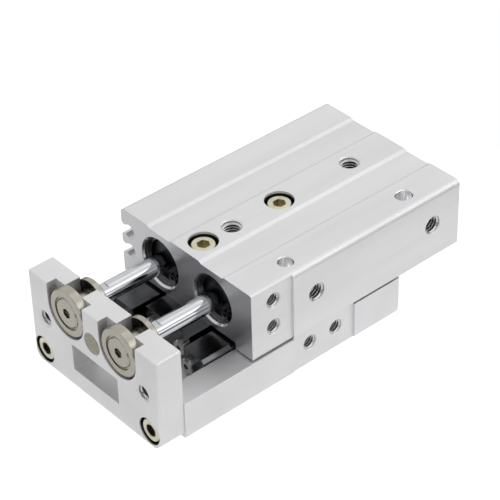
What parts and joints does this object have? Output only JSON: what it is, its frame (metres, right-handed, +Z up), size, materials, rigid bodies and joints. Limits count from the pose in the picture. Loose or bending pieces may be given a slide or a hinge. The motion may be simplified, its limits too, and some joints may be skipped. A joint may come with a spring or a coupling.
{
  "type": "slide table cylinder",
  "caption": "Compact pneumatic slide: twin pistons in an extruded body push a table and its end plate along a cross roller guide.",
  "frame": {"origin": "middle of the overall length and width, on the plane of the table's underside", "axes": "+X along the rods towards the end plate, +Y towards the side with the air ports, +Z up to the body's top face"},
  "size_m": [0.0996, 0.05, 0.0308],
  "materials": {
    "anodised_aluminium": "clear anodised, fine matt blasted surface",
    "black_anodised_aluminium": "turned, black anodised",
    "plain_aluminium": "turned, clear anodised",
    "hardened_steel": "ground on the working faces",
    "polished_steel": "hard chromed and polished",
    "yellow_zinc_steel": "yellow passivated zinc plate",
    "olive_steel": "dark olive passivated plate",
    "bright_steel": "plain bright",
    "phosphated_steel": "dark grey phosphated spring steel",
    "black_rubber": "matt moulded",
    "magnet": "dark grey bonded magnet",
    "cage_brass": "punched strip"
  },
  "bodies": {
    "cylinder": {"cylinder_body": "anodised_aluminium", "guide_block": "hardened_steel", "guide_block_screws": "yellow_zinc_steel", "guide_block_stop_screws": "bright_steel", "rod_cover_port_side": "black_anodised_aluminium", "rod_cover_sensor_side": "black_anodised_aluminium", "rod_seal_port_side": "black_rubber", "rod_seal_sensor_side": "black_rubber", "rod_cover_o_ring_port_side": "black_rubber", "rod_cover_o_ring_sensor_side": "black_rubber", "front_retaining_ring_port_side": "phosphated_steel", "front_retaining_ring_sensor_side": "phosphated_steel", "head_cap_port_side": "black_anodised_aluminium", "head_cap_sensor_side": "black_anodised_aluminium", "head_cap_o_ring_port_side": "black_rubber", "head_cap_o_ring_sensor_side": "black_rubber", "head_bumper_port_side": "black_rubber", "head_bumper_sensor_side": "black_rubber", "rear_retaining_ring_port_side": "phosphated_steel", "rear_retaining_ring_sensor_side": "phosphated_steel"},
    "slide_table": {"table": "anodised_aluminium", "end_plate": "anodised_aluminium", "end_plate_screws": "yellow_zinc_steel", "bumper_pin": "olive_steel", "bumper_pad": "black_rubber", "rail_screws": "yellow_zinc_steel", "rail_stop_screws": "bright_steel", "guide_rail_port_side": "hardened_steel", "guide_rail_sensor_side": "hardened_steel", "piston_rod_port_side": "polished_steel", "piston_rod_sensor_side": "polished_steel", "piston_port_side": "plain_aluminium", "piston_sensor_side": "plain_aluminium", "piston_seal_port_side": "black_rubber", "piston_seal_sensor_side": "black_rubber", "piston_magnet_port_side": "magnet", "piston_magnet_sensor_side": "magnet", "rod_bumper_port_side": "black_rubber", "rod_bumper_sensor_side": "black_rubber", "rod_end_flange_port_side": "olive_steel", "rod_end_flange_sensor_side": "olive_steel", "rod_end_disc_port_side": "olive_steel", "rod_end_disc_sensor_side": "olive_steel", "rod_end_screw_port_side": "olive_steel", "rod_end_screw_sensor_side": "olive_steel"},
    "cages": {"roller_cage_port_side": "cage_brass", "roller_cage_sensor_side": "cage_brass", "cross_rollers_port_side": "polished_steel", "cross_rollers_sensor_side": "polished_steel"}
  },
  "joints": [
    {"name": "table_slide", "type": "slide", "parent": "cylinder", "child": "slide_table", "axis": [1, 0, 0], "range_m": [-0.02, 0]},
    {"name": "cage_slide", "type": "slide", "parent": "cylinder", "child": "cages", "axis": [1, 0, 0], "range_m": [-0.01, 0]}
  ],
  "couplings": [
    {"joint": "cage_slide", "follows": "table_slide", "ratio": 0.5}
  ]
}
